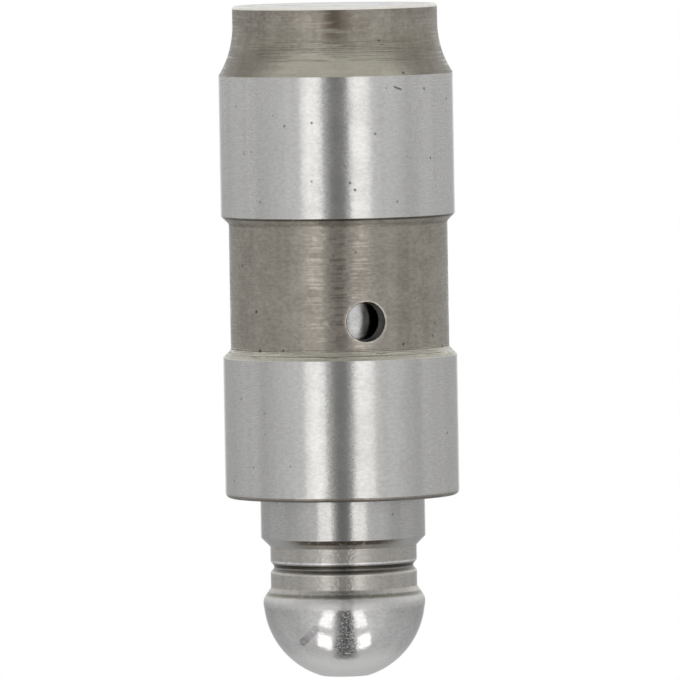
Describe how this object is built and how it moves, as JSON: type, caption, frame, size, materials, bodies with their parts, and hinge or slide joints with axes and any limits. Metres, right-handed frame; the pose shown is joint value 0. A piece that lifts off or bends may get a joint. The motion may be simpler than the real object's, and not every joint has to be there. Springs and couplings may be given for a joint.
{
  "type": "hydraulic tappet",
  "caption": "Hydraulic tappet (lash adjuster): a ground steel cup with an oil groove guides a spring-loaded plunger with a ball head, over a ball check valve.",
  "frame": {"origin": "centre of the housing's flat closed end, which it stands on", "axes": "+Z along the tappet's axis, from the closed end to the ball head; the oil feed hole faces -Y"},
  "size_m": [0.012, 0.012, 0.0344],
  "materials": {
    "housing_steel": "hardened steel, ground guide lands, turned groove and neck",
    "plunger_steel": "hardened steel, ground shank, polished ball head",
    "ball_steel": "polished bearing ball",
    "spring_steel": "drawn spring wire",
    "pressed_steel": "pressed sheet, satin"
  },
  "bodies": {
    "housing": {"housing": "housing_steel", "retaining_ring": "spring_steel", "return_spring": "spring_steel"},
    "lower_plunger": {"lower_plunger": "plunger_steel", "valve_cage": "pressed_steel", "check_spring": "spring_steel"},
    "upper_plunger": {"upper_plunger": "plunger_steel"},
    "check_ball": {"check_ball": "ball_steel"}
  },
  "joints": [
    {"name": "plunger_travel", "type": "slide", "parent": "housing", "child": "lower_plunger", "axis": [0, 0, 1], "range_m": [-0.0028, 0], "stiffness_N_per_m": 4000, "springref_m": 0.00002, "deforming": ["return_spring"]},
    {"name": "plunger_turn", "type": "hinge", "parent": "lower_plunger", "child": "upper_plunger", "pos_m": [0, 0, 0.01382], "axis": [0, 0, 1], "continuous": true},
    {"name": "check_ball_lift", "type": "slide", "parent": "lower_plunger", "child": "check_ball", "axis": [0, 0, 1], "range_m": [-0.0003, 0], "stiffness_N_per_m": 40, "springref_m": 0.00003, "deforming": ["check_spring"]}
  ]
}
